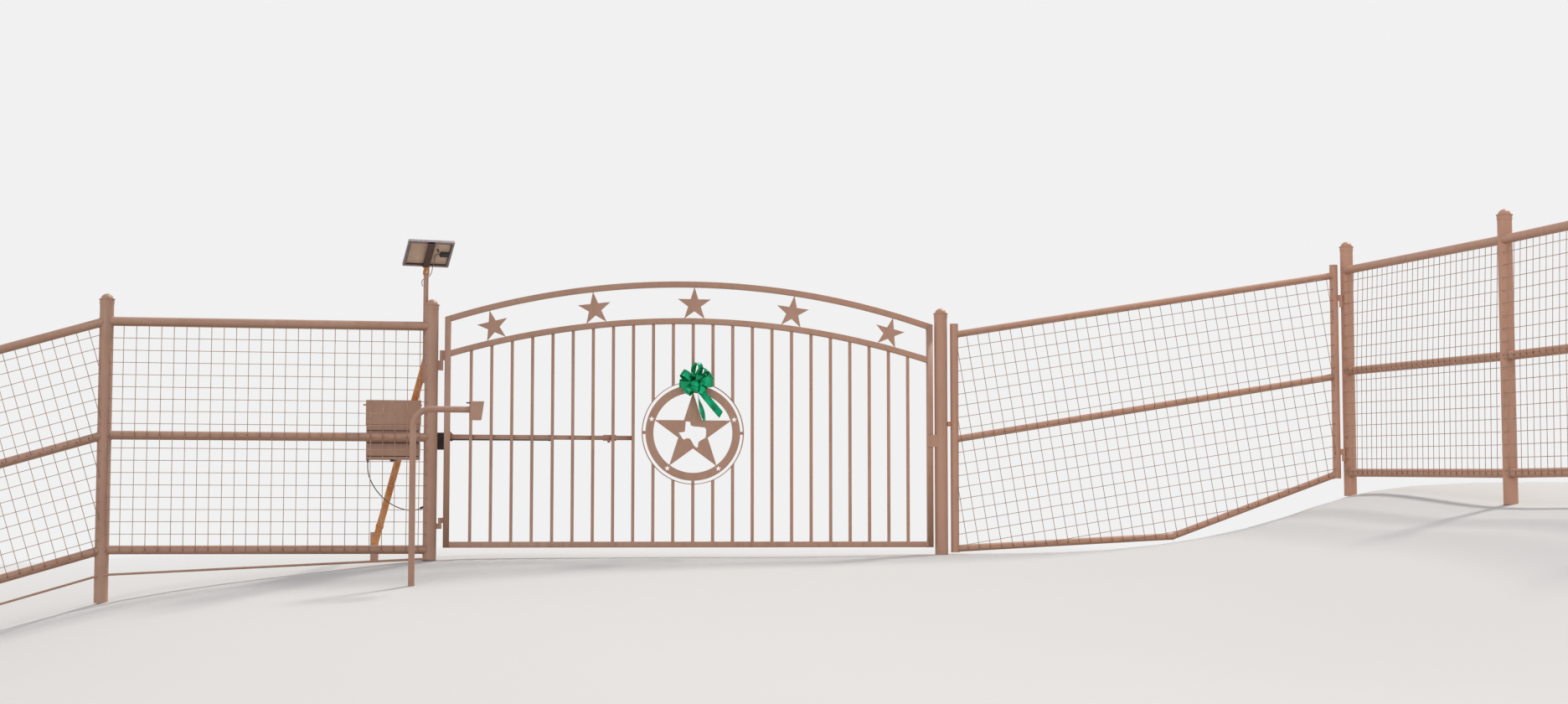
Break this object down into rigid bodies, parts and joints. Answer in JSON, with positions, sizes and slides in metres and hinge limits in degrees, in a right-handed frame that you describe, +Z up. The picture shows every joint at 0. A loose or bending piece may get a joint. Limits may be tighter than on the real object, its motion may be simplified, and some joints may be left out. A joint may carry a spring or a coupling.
{
  "type": "ranch entrance gate",
  "caption": "Arched steel picket swing gate with star medallion and screw operator, mesh side gate and pipe fence bays filled with welded wire, with keypad stand and solar panel.",
  "frame": {"origin": "centre of the hinge post's foot, on the ground", "axes": "+X along the closed gate from the hinge post to the latch post, +Y into the property, +Z up"},
  "size_m": [13.763, 7.3278, 4.028],
  "materials": {
    "painted_steel": "dull tan paint",
    "painted_wire": "dull tan paint",
    "rusty_steel": "weathered",
    "bare_steel": "satin",
    "black_paint": "satin",
    "black_plastic": "matte",
    "cable_jacket": "matte",
    "panel_frame": "anodised",
    "panel_sheet": "matte",
    "ribbon": "glossy satin"
  },
  "bodies": {
    "fence": {"hinge_post": "painted_steel", "latch_post": "painted_steel", "corner_post": "painted_steel", "line_posts": "painted_steel", "post_caps": "painted_steel", "outer_left_rails": "painted_steel", "left_rails": "painted_steel", "wing_rails": "painted_steel", "ground_rods": "painted_steel", "outer_left_mesh_upper": "painted_wire", "outer_left_mesh_lower": "painted_wire", "left_mesh_upper": "painted_wire", "left_mesh_lower": "painted_wire", "wing_mesh_upper": "painted_wire", "wing_mesh_lower": "painted_wire", "wing_end_mesh_upper": "painted_wire", "wing_end_mesh_lower": "painted_wire", "gate_hinge_pins": "painted_steel", "side_hinge_pins": "painted_steel", "gate_stop": "painted_steel", "side_latch_tab": "rusty_steel", "operator_bracket": "painted_steel", "keypad_pole": "painted_steel", "keypad_housing": "painted_steel", "keypad_panel": "bare_steel", "control_box": "painted_steel", "control_box_hood": "painted_steel", "control_box_latch": "black_plastic", "control_box_brackets": "painted_steel", "cables": "cable_jacket", "cable_glands": "black_plastic", "brace_pipe": "rusty_steel", "brace_post": "painted_steel", "brace_band": "rusty_steel", "solar_pole": "painted_steel", "solar_bracket": "rusty_steel", "solar_frame": "panel_frame", "solar_sheet": "panel_sheet", "solar_junction_box": "black_plastic"},
    "main_gate": {"gate_stiles": "painted_steel", "gate_bottom_rail": "painted_steel", "gate_upper_arch": "painted_steel", "gate_lower_arch": "painted_steel", "gate_pickets": "painted_steel", "arch_stars": "painted_steel", "medallion_ring": "painted_steel", "medallion_star": "painted_steel", "gate_middle_rail": "painted_steel", "gate_hinge_barrels": "painted_steel", "operator_ear": "painted_steel", "ribbon_bow": "ribbon"},
    "side_gate": {"side_gate_stiles": "painted_steel", "side_gate_rails": "painted_steel", "side_mesh_upper": "painted_wire", "side_mesh_lower": "painted_wire", "side_hinge_barrels": "painted_steel", "side_gate_tab": "rusty_steel"},
    "operator_tube_body": {"operator_motor": "black_plastic", "operator_tube": "black_paint"},
    "operator_rod_body": {"operator_rod": "bare_steel"}
  },
  "joints": [
    {"name": "main_gate_swing", "type": "hinge", "parent": "fence", "child": "main_gate", "pos_m": [0.0846, 0, 0.105], "axis": [0, 0, 1], "range_deg": [0, 90]},
    {"name": "side_gate_swing", "type": "hinge", "parent": "fence", "child": "side_gate", "pos_m": [8.21735, -0.03, 0.935], "axis": [0, 0, 1], "range_deg": [0, 90]},
    {"name": "operator_pivot", "type": "hinge", "parent": "fence", "child": "operator_tube_body", "pos_m": [-0.02, 0.22, 1.045], "axis": [0, 0, 1], "range_deg": [0, 94.3]},
    {"name": "rod_slide", "type": "slide", "parent": "operator_tube_body", "child": "operator_rod_body", "axis": [0.997, -0.0773, 0], "range_m": [-0.3295, 0]}
  ],
  "couplings": [
    {"joint": "operator_pivot", "follows": "main_gate_swing", "ratio": 1.0469},
    {"joint": "rod_slide", "follows": "main_gate_swing", "m_per_rad": -0.20957}
  ]
}
